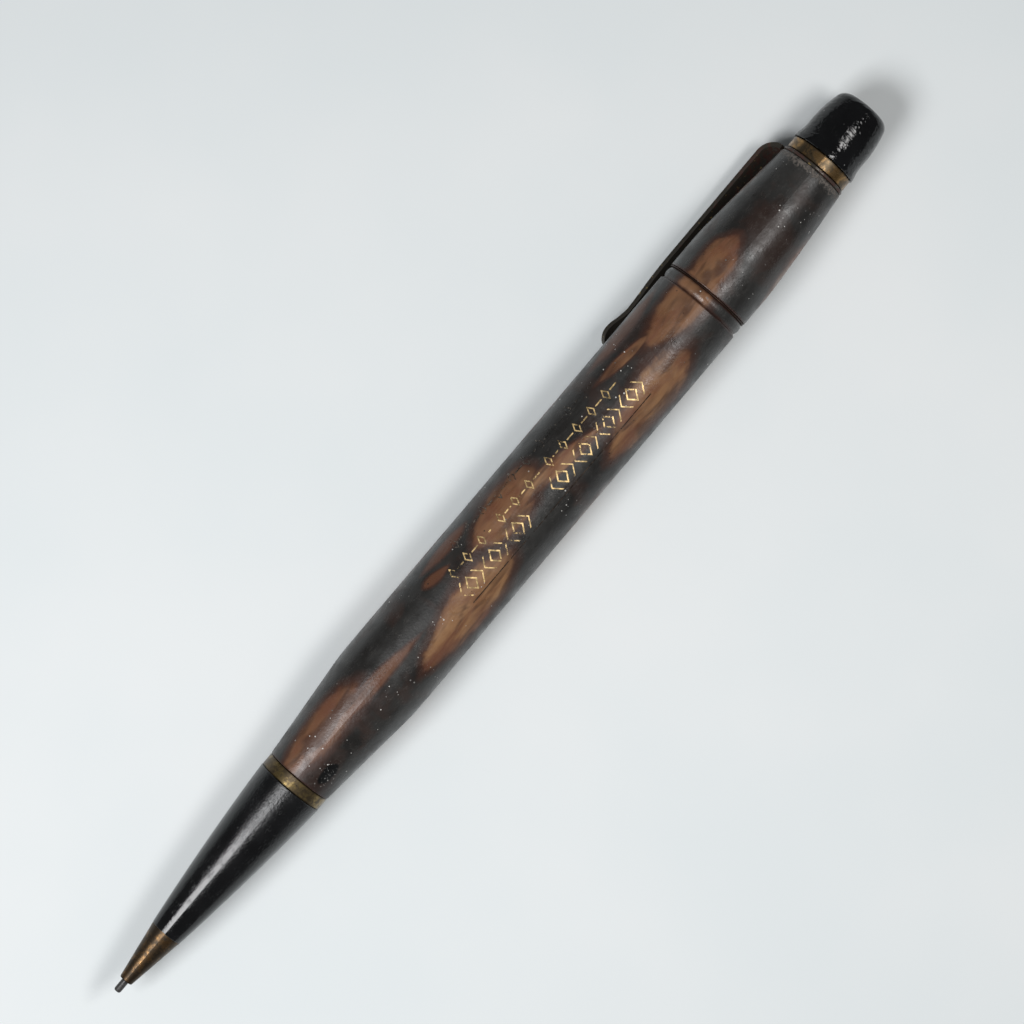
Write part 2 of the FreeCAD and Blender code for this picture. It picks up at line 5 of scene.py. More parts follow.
import bpy
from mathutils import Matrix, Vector


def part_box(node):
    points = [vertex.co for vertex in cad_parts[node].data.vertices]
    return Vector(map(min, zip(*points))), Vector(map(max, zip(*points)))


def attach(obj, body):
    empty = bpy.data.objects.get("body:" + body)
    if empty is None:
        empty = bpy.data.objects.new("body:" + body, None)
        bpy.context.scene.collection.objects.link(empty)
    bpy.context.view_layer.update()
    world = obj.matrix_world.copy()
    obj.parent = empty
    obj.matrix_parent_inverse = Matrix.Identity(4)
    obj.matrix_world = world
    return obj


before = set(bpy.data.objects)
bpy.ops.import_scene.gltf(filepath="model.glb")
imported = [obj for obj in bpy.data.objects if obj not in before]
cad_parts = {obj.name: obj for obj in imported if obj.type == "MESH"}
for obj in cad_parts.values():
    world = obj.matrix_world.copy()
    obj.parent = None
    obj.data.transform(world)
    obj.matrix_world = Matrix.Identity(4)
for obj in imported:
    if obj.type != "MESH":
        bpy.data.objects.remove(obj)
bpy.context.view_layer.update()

bl_info = {
    "name": "Marbled pencil",
    "version": (1, 0, 0),
    "blender": (4, 5, 0),
    "location": "View3D > Sidebar > Pencil",
    "description": "Finishes, stamped ornament and studio for a marbled twist pencil",
    "category": "Object",
}

MM = 0.001


# ---------------------------------------------------------------- places from the frame

def span(node):
    """Where a CAD node starts and ends along the pencil, in metres."""
    low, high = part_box(node)
    return low[0], high[0]


def thickness(node):
    """The radius of a turned CAD node, in metres."""
    low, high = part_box(node)
    return (high[2] - low[2]) / 2


POINT = span("lead")[0]
AXIS_HEIGHT = sum(corner[2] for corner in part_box("barrel_tube")) / 2
BARREL_RADIUS = thickness("barrel_tube")
PENCIL_LENGTH = span("end_cap")[1] - POINT


def station(node, end):
    """The start (0) or end (1) of a CAD node, in millimetres from the writing point."""
    return (span(node)[end] - POINT) / MM


# ---------------------------------------------------------------- sizes and colours to change

class PencilFinish(bpy.types.PropertyGroup):
    charcoal: bpy.props.FloatVectorProperty(
        name="Charcoal", description="Ground colour of the marbled plastic",
        subtype="COLOR", size=3, min=0, max=1, default=(0.0135, 0.0123, 0.0113))
    smoke: bpy.props.FloatVectorProperty(
        name="Smoke", description="Paler clouds in the ground of the marbled plastic",
        subtype="COLOR", size=3, min=0, max=1, default=(0.0250, 0.0240, 0.0225))
    flame: bpy.props.FloatVectorProperty(
        name="Flame", description="Colour of the flames in the marbled plastic",
        subtype="COLOR", size=3, min=0, max=1, default=(0.108, 0.049, 0.026))
    amber: bpy.props.FloatVectorProperty(
        name="Amber", description="Lightest streaks inside the flames",
        subtype="COLOR", size=3, min=0, max=1, default=(0.270, 0.146, 0.068))
    rust: bpy.props.FloatVectorProperty(
        name="Rust", description="Redder clouds inside the flames",
        subtype="COLOR", size=3, min=0, max=1, default=(0.128, 0.051, 0.028))
    ember: bpy.props.FloatVectorProperty(
        name="Ember", description="Dark red rim of the flames",
        subtype="COLOR", size=3, min=0, max=1, default=(0.050, 0.0205, 0.0130))
    black: bpy.props.FloatVectorProperty(
        name="Black", description="Colour of the black nose and end cap",
        subtype="COLOR", size=3, min=0, max=1, default=(0.0030, 0.0030, 0.0033))
    brass: bpy.props.FloatVectorProperty(
        name="Brass", description="Bare brass of the rings",
        subtype="COLOR", size=3, min=0, max=1, default=(0.34, 0.245, 0.098))
    old_gold: bpy.props.FloatVectorProperty(
        name="Old gold", description="Warmer brass of the ring below the end cap",
        subtype="COLOR", size=3, min=0, max=1, default=(0.38, 0.225, 0.092))
    tarnish: bpy.props.FloatVectorProperty(
        name="Tarnish", description="Brown tarnish on the rings and the clip",
        subtype="COLOR", size=3, min=0, max=1, default=(0.070, 0.051, 0.029))
    bronze: bpy.props.FloatVectorProperty(
        name="Bronze", description="Metal of the writing tip",
        subtype="COLOR", size=3, min=0, max=1, default=(0.215, 0.122, 0.052))
    gilt: bpy.props.FloatVectorProperty(
        name="Gilt", description="Leaf in the stamped ornament",
        subtype="COLOR", size=3, min=0, max=1, default=(0.54, 0.385, 0.175))


class PencilSizes(bpy.types.PropertyGroup):
    stroke: bpy.props.FloatProperty(
        name="Stroke", description="Width of a stroke of the stamped ornament",
        unit="LENGTH", default=0.17 * MM, min=0.05 * MM, max=1 * MM)
    leaf: bpy.props.FloatProperty(
        name="Leaf", description="How far the stamped leaf stands on the barrel",
        unit="LENGTH", default=0.015 * MM, min=0.001 * MM, max=0.1 * MM)
    camera_height: bpy.props.FloatProperty(
        name="Camera height", description="Height of the camera above the pencil's axis",
        unit="LENGTH", default=0.41, min=0.1, max=2)
    view_width: bpy.props.FloatProperty(
        name="View width", description="Width of the view in the plane of the axis",
        unit="LENGTH", default=0.12047, min=0.05, max=1)
    lean: bpy.props.FloatProperty(
        name="Lean", description="Turn of the pencil from level in the view",
        subtype="ANGLE", default=math.radians(49.68))
    nose_lamp: bpy.props.FloatProperty(
        name="Nose side lamp", description="Power of the lamp on the nose side, in watts",
        subtype="POWER", default=0.78, min=0, max=100)
    cap_lamp: bpy.props.FloatProperty(
        name="Cap side lamp", description="Power of the lamp on the cap side, in watts",
        subtype="POWER", default=0.42, min=0, max=100)


# ---------------------------------------------------------------- building node trees

class Nodes:
    """Adds nodes to one tree and joins each to the values or sockets it is given."""

    def __init__(self, tree):
        self.tree = tree

    def join(self, socket, value):
        if isinstance(value, bpy.types.NodeSocket):
            self.tree.links.new(value, socket)
        else:
            socket.default_value = value

    def add(self, kind, inputs=None, **settings):
        node = self.tree.nodes.new(kind)
        for name, value in settings.items():
            setattr(node, name, value)
        for name, value in (inputs or {}).items():
            self.join(node.inputs[name], value)
        return node

    def math(self, operation, first, second=0.0, clamp=False):
        node = self.add("ShaderNodeMath", {0: first, 1: second}, operation=operation,
                        use_clamp=clamp)
        return node.outputs[0]

    def noise(self, vector, scale, detail=3.0, roughness=0.5, distortion=0.0):
        node = self.add("ShaderNodeTexNoise", {
            "Vector": vector, "Scale": scale, "Detail": detail, "Roughness": roughness,
            "Distortion": distortion})
        return node.outputs["Fac"]

    def cells(self, vector, scale, output="Distance"):
        node = self.add("ShaderNodeTexVoronoi", {"Vector": vector, "Scale": scale})
        return node.outputs[output]

    def smooth(self, value, low, high, to_low=0.0, to_high=1.0):
        node = self.add("ShaderNodeMapRange", {
            "Value": value, "From Min": low, "From Max": high, "To Min": to_low,
            "To Max": to_high}, interpolation_type="SMOOTHSTEP")
        return node.outputs["Result"]

    def blend(self, factor, first, second):
        """Mixes two colours, each a socket or a plain red, green and blue."""
        node = self.add("ShaderNodeMix", data_type="RGBA")
        for index, value in ((0, factor), (6, first), (7, second)):
            plain = not isinstance(value, bpy.types.NodeSocket)
            self.join(node.inputs[index], (*value, 1.0) if plain and index else value)
        return node.outputs[2]

    def bump(self, height, distance, strength):
        node = self.add("ShaderNodeBump", {
            "Height": height, "Distance": distance, "Strength": strength})
        return node.outputs["Normal"]

    def group(self, name, inputs):
        node = self.add("ShaderNodeGroup", node_tree=bpy.data.node_groups[name])
        for socket, value in inputs.items():
            self.join(node.inputs[socket], value)
        return node.outputs


def new_group(name, inputs, outputs):
    """An empty shader node group with its sockets, and the nodes at its two ends."""
    tree = bpy.data.node_groups.new(name, "ShaderNodeTree")
    for socket, (kind, default) in inputs.items():
        made = tree.interface.new_socket(socket, in_out="INPUT", socket_type=kind)
        if default is not None:
            made.default_value = default
    for socket, kind in outputs.items():
        tree.interface.new_socket(socket, in_out="OUTPUT", socket_type=kind)
    made = Nodes(tree)
    start = made.add("NodeGroupInput").outputs
    end = made.add("NodeGroupOutput")
    return made, start, end


def new_material(name, metallic=0.0):
    """A material with its shader, and the object coordinates that its patterns follow."""
    material = bpy.data.materials.new(name)
    material.use_nodes = True
    made = Nodes(material.node_tree)
    shader = material.node_tree.nodes["Principled BSDF"]
    shader.inputs["Metallic"].default_value = metallic
    place = made.add("ShaderNodeTexCoord").outputs["Object"]
    return material, made, shader, place


FLOAT = "NodeSocketFloat"
COLOR = "NodeSocketColor"
VECTOR = "NodeSocketVector"


def make_pencil_coordinates():
    """Along: mm from the writing point. Around: mm round the barrel from its top line."""
    made, start, end = new_group(
        "Pencil coordinates", {"Place": (VECTOR, None)}, {"Along": FLOAT, "Around": FLOAT})
    parts = made.add("ShaderNodeSeparateXYZ", {0: start["Place"]}).outputs
    along = made.math("MULTIPLY", made.math("SUBTRACT", parts["X"], POINT), 1 / MM)
    height = made.math("SUBTRACT", parts["Z"], AXIS_HEIGHT)
    turn = made.math("ARCTAN2", parts["Y"], height)
    made.join(end.inputs["Along"], along)
    made.join(end.inputs["Around"], made.math("MULTIPLY", turn, BARREL_RADIUS / MM))


def make_flame():
    """One flame of the marbling: a soft, frayed leaf that narrows towards its nose end."""
    made, start, end = new_group("Flame", {
        "Along": (FLOAT, 0), "Around": (FLOAT, 0), "Fray": (FLOAT, 0.5),
        "Middle": (FLOAT, 0), "Side": (FLOAT, 0), "Half length": (FLOAT, 5),
        "Half width": (FLOAT, 2), "Tilt": (FLOAT, 0), "Taper": (FLOAT, 0.3),
        "Light": (FLOAT, 0.5)},
        {"Depth": FLOAT, "Light": FLOAT})
    run = made.math("SUBTRACT", start["Along"], start["Middle"])
    reach = made.math("DIVIDE", run, start["Half length"])
    centre = made.math("ADD", start["Side"], made.math("MULTIPLY", run, start["Tilt"]))
    off = made.math("SUBTRACT", start["Around"], centre)
    swell = made.math("ADD", made.math("MULTIPLY", reach, start["Taper"]), 1.0)
    width = made.math("MULTIPLY", start["Half width"], made.math("MAXIMUM", swell, 0.12))
    across = made.math("DIVIDE", off, width)
    leaf = made.math("ADD", made.math("POWER", made.math("ABSOLUTE", reach), 2.2),
                     made.math("POWER", made.math("ABSOLUTE", across), 1.35))
    depth = made.math("SUBTRACT", 1.0, leaf)
    frayed = made.math("ADD", depth, made.math("SUBTRACT", start["Fray"], 0.5))
    made.join(end.inputs["Depth"], frayed)
    made.join(end.inputs["Light"], made.math("MULTIPLY", start["Light"],
                                             made.smooth(frayed, 0.0, 0.45)))


def make_dust():
    """Pale specks of dust and grit, a share of the cells of a fine pattern."""
    made, start, end = new_group(
        "Dust", {"Place": (VECTOR, None), "Scale": (FLOAT, 900), "Size": (FLOAT, 0.10),
                 "Share": (FLOAT, 0.06)}, {"Mask": FLOAT})
    near = made.cells(start["Place"], start["Scale"])
    tint = made.cells(start["Place"], start["Scale"], "Color")
    pick = made.add("ShaderNodeSeparateColor", {0: tint}).outputs
    chosen = made.math("LESS_THAN", pick[0], start["Share"])
    size = made.math("MULTIPLY", start["Size"], made.math("ADD", pick[1], 0.45))
    spot = made.math("LESS_THAN", near, size)
    made.join(end.inputs["Mask"], made.math("MULTIPLY", chosen, spot))


def make_scratches():
    """Fine hairline scratches that run roughly along the pencil, with broken lengths."""
    made, start, end = new_group(
        "Scratches", {"Place": (VECTOR, None), "Density": (FLOAT, 1.0)}, {"Mask": FLOAT})
    masks = []
    for turn, stretch in ((0.10, 14.0), (-0.22, 9.0), (0.9, 6.0)):
        laid = made.add("ShaderNodeMapping", {
            "Vector": start["Place"], "Rotation": (turn, turn * 0.3, turn),
            "Scale": (1.0, stretch, stretch)}).outputs[0]
        lines = made.noise(laid, 520.0, 2.0, 0.6)
        thin = made.math("ABSOLUTE", made.math("SUBTRACT", lines, 0.5))
        line = made.smooth(thin, 0.012, 0.0)
        broken = made.smooth(made.noise(start["Place"], 260.0 + 40 * stretch, 1.0), 0.56, 0.64)
        masks.append(made.math("MULTIPLY", line, broken))
    total = made.math("MAXIMUM", made.math("MAXIMUM", masks[0], masks[1]), masks[2])
    made.join(end.inputs["Mask"], made.math("MULTIPLY", total, start["Density"]))


def make_edge_band():
    """1 within a short distance of a place along the pencil, fading to 0."""
    made, start, end = new_group(
        "Edge band", {"Along": (FLOAT, 0), "At": (FLOAT, 0), "Reach": (FLOAT, 0.5)},
        {"Mask": FLOAT})
    off = made.math("ABSOLUTE", made.math("SUBTRACT", start["Along"], start["At"]))
    made.join(end.inputs["Mask"], made.smooth(off, start["Reach"], 0.0))


# ---------------------------------------------------------------- the materials

# The flames on the side that faces up and then those underneath. Each has its middle and
# half length in millimetres along, its side and half width in millimetres round from the
# top line, its tilt in millimetres round for each along, how much it tapers, and how light.
FLAMES = (
    (38.6, 1.75, 8.4, 2.9, 0.01, 0.15, 0.20),
    (46.6, 0.35, 8.6, 1.00, -0.05, -0.35, 0.12),
    (60.7, -2.7, 9.2, 3.1, 0.08, 0.30, 0.95),
    (72.6, 2.1, 6.4, 3.1, 0.10, 0.20, 0.50),
    (80.6, 0.5, 7.4, 1.15, -0.16, -0.30, 0.70),
    (93.0, -3.2, 8.6, 3.4, 0.10, 0.25, 0.78),
    (95.0, 2.8, 4.3, 0.75, -0.12, 0.0, 0.55),
    (61.6, 3.0, 2.1, 0.75, -0.15, -0.4, 0.08),
    (64.6, 4.9, 4.0, 1.0, 0.0, 0.1, 0.04),
    (104.6, 1.6, 7.4, 2.8, 0.0, 0.10, 0.46),
    (110.4, 1.8, 4.5, 2.6, 0.0, -0.1, 0.38),
    (97.5, 6.0, 6.0, 1.3, 0.05, 0.0, 0.05),
    (44.0, -12.8, 9.5, 2.8, 0.08, 0.4, 0.50),
    (58.0, 11.2, 10.0, 3.0, -0.10, 0.3, 0.70),
    (76.5, -11.0, 9.0, 3.2, 0.10, 0.35, 0.60),
    (84.0, 10.2, 8.5, 2.6, 0.06, 0.3, 0.80),
    (100.5, -12.0, 8.0, 2.9, -0.08, 0.2, 0.70),
    (104.0, 13.0, 6.0, 2.4, 0.0, 0.2, 0.45),
    (114.5, -8.6, 6.0, 2.4, 0.10, 0.2, 0.40),
    (119.0, 9.4, 5.5, 1.9, -0.05, 0.3, 0.60),
)


def marbled_material(finish):
    """Charcoal plastic with brown and amber flames, dulled by handling."""
    material, made, shader, place = new_material("marbled_celluloid")
    here = made.group("Pencil coordinates", {"Place": place})
    fray_wide = made.noise(place, 230.0, 5.0, 0.6, 0.8)
    fray_fine = made.noise(place, 900.0, 4.0, 0.6, 0.4)
    fray = made.math("ADD", made.math("MULTIPLY", fray_wide, 0.82),
                     made.math("MULTIPLY", fray_fine, 0.18))
    depth = -1.0
    light = 0.0
    for middle, side, length, width, tilt, taper, lightness in FLAMES:
        flame = made.group("Flame", {
            "Along": here["Along"], "Around": here["Around"], "Fray": fray,
            "Middle": middle, "Side": side, "Half length": length, "Half width": width,
            "Tilt": tilt, "Taper": taper, "Light": lightness})
        depth = made.math("MAXIMUM", flame["Depth"], depth)
        light = made.math("MAXIMUM", flame["Light"], light)

    streaked = made.add("ShaderNodeMapping", {
        "Vector": place, "Rotation": (0, 0, 0.30), "Scale": (0.30, 1.0, 1.0)}).outputs[0]
    streaks = made.noise(streaked, 900.0, 3.0, 0.55, 0.5)
    clouds = made.noise(streaked, 330.0, 3.0, 0.5, 0.6)
    veils = made.noise(streaked, 520.0, 2.0, 0.5, 0.8)
    rim = made.smooth(depth, -0.04, 0.26)
    bright = made.math("ADD", made.math("MULTIPLY", streaks, 0.35),
                       made.math("MULTIPLY", clouds, 0.65))
    glow = made.math("MULTIPLY", made.smooth(bright, 0.38, 0.62), light)

    ground = made.blend(made.smooth(clouds, 0.38, 0.66), finish.charcoal, finish.smoke)
    browned = made.smooth(made.noise(place, 170.0, 3.0, 0.6, 0.5), 0.48, 0.66, 0.0, 0.32)
    ground = made.blend(browned, ground, finish.ember)
    warm = made.math("MULTIPLY", made.smooth(depth, -0.45, 0.05), 0.62)
    ground = made.blend(warm, ground, finish.ember)
    clear = made.math("MULTIPLY", made.smooth(depth, 0.02, 0.50),
                      made.smooth(light, 0.0, 0.25, 0.30, 1.0))
    body = made.blend(made.smooth(veils, 0.42, 0.60), finish.flame, finish.rust)
    inside = made.blend(clear, finish.ember, body)
    inside = made.blend(glow, inside, finish.amber)
    inside = made.blend(made.smooth(veils, 0.54, 0.36, 0.0, 0.70), inside, finish.ember)
    color = made.blend(rim, ground, inside)

    # Grime sits in the turned groove, in the joint and along the two ends.
    grime = 0.0
    band_front = station("barrel_tube", 1) - 1.5
    for at, reach in ((band_front, 0.42), (station("barrel_tube", 1), 0.32),
                      (station("cap_tube", 0), 0.36), (station("barrel_tube", 0), 0.30)):
        band = made.group("Edge band", {"Along": here["Along"], "At": at, "Reach": reach})
        grime = made.math("MAXIMUM", band["Mask"], grime)
    grime = made.math("MULTIPLY", grime, made.smooth(fray_fine, 0.25, 0.6, 0.35, 0.9))
    color = made.blend(grime, color, (0.034, 0.012, 0.008))
    chips = made.group("Edge band", {
        "Along": here["Along"], "At": station("cap_tube", 1) - 0.35, "Reach": 1.1})["Mask"]
    grit = made.math("ADD", made.noise(place, 3600.0, 5.0, 0.75),
                     made.math("MULTIPLY", chips, 0.16))
    crumbs = made.smooth(grit, 0.56, 0.72)
    crumbs = made.math("MULTIPLY", crumbs, made.smooth(chips, 0.02, 0.35))
    color = made.blend(made.math("MULTIPLY", crumbs, 0.7), color, (0.165, 0.140, 0.120))

    dust = made.group("Dust", {"Place": place, "Scale": 1900.0, "Size": 0.13,
                               "Share": 0.46})["Mask"]
    patchy = made.smooth(made.noise(place, 190.0, 2.0), 0.52, 0.58)
    dust = made.math("MULTIPLY", dust, patchy)
    scratch = made.group("Scratches", {"Place": place, "Density": 0.55})["Mask"]
    color = made.blend(made.math("MULTIPLY", scratch, 0.34), color, (0.20, 0.18, 0.16))
    color = made.blend(made.math("MULTIPLY", dust, 0.9), color, (0.60, 0.58, 0.55))
    pits = made.group("Dust", {"Place": place, "Scale": 1900.0, "Size": 0.15,
                               "Share": 0.06})["Mask"]
    color = made.blend(made.math("MULTIPLY", pits, 0.7), color, (0.006, 0.005, 0.005))

    # One burnt pit near the front ring, with crumbs round it.
    burn = made.group("Flame", {
        "Along": here["Along"], "Around": here["Around"], "Fray": fray_fine, "Middle": 35.9,
        "Side": -3.1, "Half length": 1.9, "Half width": 1.2, "Tilt": 0.0, "Taper": 0.0})
    color = made.blend(made.smooth(burn["Depth"], 0.05, 0.45), color, (0.002, 0.002, 0.002))
    near_burn = made.smooth(burn["Depth"], -0.6, -0.1)
    crusted = made.smooth(made.noise(place, 3300.0, 3.0, 0.6), 0.62, 0.68)
    crusted = made.math("MULTIPLY", made.math("MULTIPLY", crusted, near_burn), 0.7)
    color = made.blend(crusted, color, (0.42, 0.40, 0.38))

    handled = made.noise(place, 420.0, 5.0, 0.62)
    rough = made.smooth(handled, 0.3, 0.7, 0.25, 0.48)
    rough = made.math("ADD", rough, made.math("MULTIPLY", scratch, 0.12))
    rough = made.math("ADD", rough, made.math("MULTIPLY", crumbs, 0.3), clamp=True)
    relief = made.math("SUBTRACT", made.math("MULTIPLY", handled, 0.35),
                       made.math("MULTIPLY", pits, 0.8))
    relief = made.math("SUBTRACT", relief, made.math("MULTIPLY", scratch, 0.35))
    relief = made.math("SUBTRACT", relief, made.math("MULTIPLY", crumbs, 1.2))
    relief = made.math("ADD", relief, made.math("MULTIPLY", dust, 0.8))
    relief = made.math("ADD", relief, made.math("MULTIPLY", made.noise(place, 3000.0), 1.5))
    shader.inputs["Specular IOR Level"].default_value = 0.43
    made.join(shader.inputs["Base Color"], color)
    made.join(shader.inputs["Roughness"], rough)
    made.join(shader.inputs["Normal"], made.bump(relief, 0.02 * MM, 0.7))
    return material


def black_material(finish, name, node, rippled):
    """Black moulded plastic: rippled by age, or else scuffed towards its wide end."""
    material, made, shader, place = new_material(name)
    haze = made.noise(place, 300.0, 5.0, 0.6)
    grain = made.noise(place, 3800.0, 4.0, 0.6)
    scratch = made.group("Scratches", {"Place": place, "Density": 1.0})["Mask"]
    dust = made.group("Dust", {"Place": place, "Scale": 1400.0, "Size": 0.10,
                               "Share": 0.035})["Mask"]
    color = made.blend(made.smooth(haze, 0.35, 0.75), finish.black, (0.0055, 0.0055, 0.006))
    color = made.blend(made.math("MULTIPLY", scratch, 0.07), color, (0.12, 0.12, 0.12))
    color = made.blend(made.math("MULTIPLY", dust, 0.5), color, (0.30, 0.30, 0.30))

    relief = made.math("MULTIPLY", grain, 0.9)
    relief = made.math("SUBTRACT", relief, made.math("MULTIPLY", scratch, 0.3))
    if rippled:
        gloss = 0.34
        rough = made.smooth(haze, 0.3, 0.7, 0.05, 0.09)
        across = made.add("ShaderNodeMapping", {
            "Vector": place, "Scale": (1.5, 0.8, 0.8)}).outputs[0]
        waves = made.noise(across, 850.0, 2.0, 0.45, 1.4)
        relief = made.math("ADD", relief, made.math("MULTIPLY", waves, 10.0))
    else:
        gloss = 0.48
        along = made.group("Pencil coordinates", {"Place": place})["Along"]
        front, back = station(node, 0), station(node, 1)
        rough = made.math("ADD", made.smooth(haze, 0.3, 0.7, 0.05, 0.11),
                          made.smooth(along, front, back, 0.06, 0.19))
        scuffed = made.smooth(along, front, back, 0.6, 4.6)
        relief = made.math("ADD", relief, made.math("MULTIPLY", grain, scuffed))
    rough = made.math("ADD", rough, made.math("MULTIPLY", scratch, 0.15), clamp=True)
    shader.inputs["Specular IOR Level"].default_value = gloss
    made.join(shader.inputs["Base Color"], color)
    made.join(shader.inputs["Roughness"], rough)
    made.join(shader.inputs["Normal"], made.bump(relief, 0.012 * MM, 0.8))
    return material


def metal_material(name, bare, tarnish, tarnished, rough, node=None):
    """Turned metal with patches of tarnish, fine tool marks and small pits.

    About the share "tarnished" of it is under tarnish. With a node, grime darkens the
    metal along that node's two ends.
    """
    material, made, shader, place = new_material(name)
    turned = made.add("ShaderNodeMapping", {
        "Vector": place, "Scale": (6.0, 0.35, 0.35)}).outputs[0]
    marks = made.noise(turned, 900.0, 3.0, 0.6)
    patches = made.noise(place, 650.0, 5.0, 0.62, 0.4)
    fine = made.noise(place, 3200.0, 3.0, 0.6)
    cover = made.math("ADD", made.math("MULTIPLY", patches, 0.75),
                      made.math("MULTIPLY", fine, 0.25))
    mask = made.smooth(cover, 1.0 - tarnished - 0.16, 1.0 - tarnished + 0.10)
    spots = made.group("Dust", {"Place": place, "Scale": 2600.0, "Size": 0.28,
                                "Share": 0.10})["Mask"]
    color = made.blend(mask, bare, tarnish)
    dark = tuple(0.35 * part for part in tarnish)
    color = made.blend(made.math("MULTIPLY", spots, 0.7), color, dark)
    if node:
        here = made.group("Pencil coordinates", {"Place": place})
        for end in (0, 1):
            band = made.group("Edge band", {
                "Along": here["Along"], "At": station(node, end), "Reach": 0.28})
            color = made.blend(made.math("MULTIPLY", band["Mask"], 0.85), color, dark)
    worn = made.math("ADD", made.math("MULTIPLY", marks, 0.08), rough)
    worn = made.math("ADD", worn, made.math("MULTIPLY", mask, 0.14), clamp=True)
    relief = made.math("ADD", made.math("MULTIPLY", marks, 0.35),
                       made.math("MULTIPLY", cover, 0.9))
    relief = made.math("SUBTRACT", relief, made.math("MULTIPLY", spots, 0.5))
    made.join(shader.inputs["Base Color"], color)
    made.join(shader.inputs["Metallic"], made.smooth(mask, 0.0, 1.0, 1.0, 0.75))
    made.join(shader.inputs["Roughness"], worn)
    made.join(shader.inputs["Normal"], made.bump(relief, 0.012 * MM, 0.7))
    return material


def clip_material(finish):
    """Plated strip gone dark and rough, with rust-brown crust and a few bright glints."""
    material, made, shader, place = new_material("tarnished_metal")
    crust = made.noise(place, 900.0, 6.0, 0.68, 0.5)
    grit = made.noise(place, 3600.0, 3.0, 0.6)
    here = made.group("Pencil coordinates", {"Place": place})
    root = made.smooth(here["Along"], station("cap_tube", 0), station("cap_tube", 1), 0.0, 0.17)
    rust = made.smooth(made.math("ADD", crust, root), 0.60, 0.74)
    color = made.blend(rust, (0.052, 0.046, 0.037), (0.052, 0.022, 0.016))
    shine = made.math("MULTIPLY", made.smooth(made.noise(place, 1700.0, 2.0), 0.66, 0.74),
                      made.math("SUBTRACT", 1.0, rust))
    color = made.blend(shine, color, finish.brass)
    relief = made.math("ADD", made.math("MULTIPLY", crust, 1.3),
                       made.math("MULTIPLY", grit, 0.4))
    made.join(shader.inputs["Base Color"], color)
    made.join(shader.inputs["Metallic"], made.smooth(rust, 0.0, 1.0, 0.45, 0.20))
    made.join(shader.inputs["Roughness"], made.smooth(rust, 0.0, 1.0, 0.32, 0.60))
    made.join(shader.inputs["Normal"], made.bump(relief, 0.015 * MM, 0.8))
    return material


def graphite_material():
    """Lead: dark grey with a soft metallic sheen and a grainy break at its end."""
    material, made, shader, place = new_material("graphite", metallic=0.25)
    grain = made.noise(place, 5200.0, 4.0, 0.7)
    streak = made.noise(made.add("ShaderNodeMapping", {
        "Vector": place, "Scale": (0.2, 1.0, 1.0)}).outputs[0], 3000.0, 2.0)
    color = made.blend(made.smooth(grain, 0.35, 0.7), (0.030, 0.029, 0.029), (0.075, 0.072, 0.070))
    made.join(shader.inputs["Base Color"], color)
    made.join(shader.inputs["Roughness"], made.smooth(streak, 0.3, 0.7, 0.34, 0.52))
    made.join(shader.inputs["Normal"], made.bump(grain, 0.012 * MM, 0.8))
    return material


def eraser_material():
    """Old red rubber, bloomed and slightly crazed."""
    material, made, shader, place = new_material("eraser_rubber")
    bloom = made.noise(place, 900.0, 5.0, 0.6)
    craze = made.cells(place, 2200.0)
    color = made.blend(made.smooth(bloom, 0.35, 0.7), (0.30, 0.085, 0.060), (0.42, 0.19, 0.14))
    made.join(shader.inputs["Base Color"], color)
    made.join(shader.inputs["Roughness"], made.smooth(bloom, 0.3, 0.7, 0.62, 0.85))
    made.join(shader.inputs["Normal"], made.bump(craze, 0.02 * MM, 0.5))
    return material


def gilt_material(name, worn, color):
    """Leaf pressed into the barrel, broken where it has rubbed away; worn is how much."""
    material, made, shader, place = new_material(name)
    missing = made.noise(place, 2600.0, 4.0, 0.65)
    wide = made.noise(place, 380.0, 2.0)
    kept = made.math("ADD", made.math("MULTIPLY", missing, 0.6),
                     made.math("MULTIPLY", wide, 0.4))
    # Small patches vary the leaf from 0.6 to 1.8 times its colour: a random tone, and at the
    # bright end a painted sparkle.
    tone_and_sparkle = made.noise(place, 1500.0, 2.0)
    tint = made.blend(made.smooth(tone_and_sparkle, 0.36, 0.66), tuple(part * 0.6 for part in color),
                      tuple(min(1.0, part * 1.8) for part in color))
    made.join(shader.inputs["Base Color"], tint)
    made.join(shader.inputs["Metallic"], made.smooth(wide, 0.3, 0.7, 0.35, 0.6))
    made.join(shader.inputs["Roughness"], made.smooth(missing, 0.3, 0.7, 0.30, 0.48))
    made.join(shader.inputs["Alpha"], made.smooth(kept, worn - 0.03, worn + 0.03))
    made.join(shader.inputs["Normal"], made.bump(missing, 0.01 * MM, 0.8))
    return material


def floor_material():
    """Plain pale paper board."""
    material, made, shader, place = new_material("pale_board")
    soft = made.noise(place, 26.0, 3.0, 0.5)
    tooth = made.noise(place, 900.0, 4.0, 0.6)
    color = made.blend(made.smooth(soft, 0.3, 0.75), (0.735, 0.775, 0.785), (0.775, 0.80, 0.805))
    made.join(shader.inputs["Base Color"], color)
    shader.inputs["Roughness"].default_value = 0.75
    shader.inputs["Specular IOR Level"].default_value = 0.2
    made.join(shader.inputs["Normal"], made.bump(tooth, 0.02 * MM, 0.3))
    return material


def dress(material, *nodes):
    """Gives CAD nodes a material."""
    for name in nodes:
        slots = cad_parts[name].data.materials
        for index in range(len(slots)):
            slots[index] = material
        if not slots:
            slots.append(material)


# ---------------------------------------------------------------- modelling helpers

def nothing_selected():
    """Deselects every object, because an operator acts on all that is selected."""
    if bpy.context.object and bpy.context.object.mode != "OBJECT":
        bpy.ops.object.mode_set(mode="OBJECT")
    bpy.ops.object.select_all(action="DESELECT")


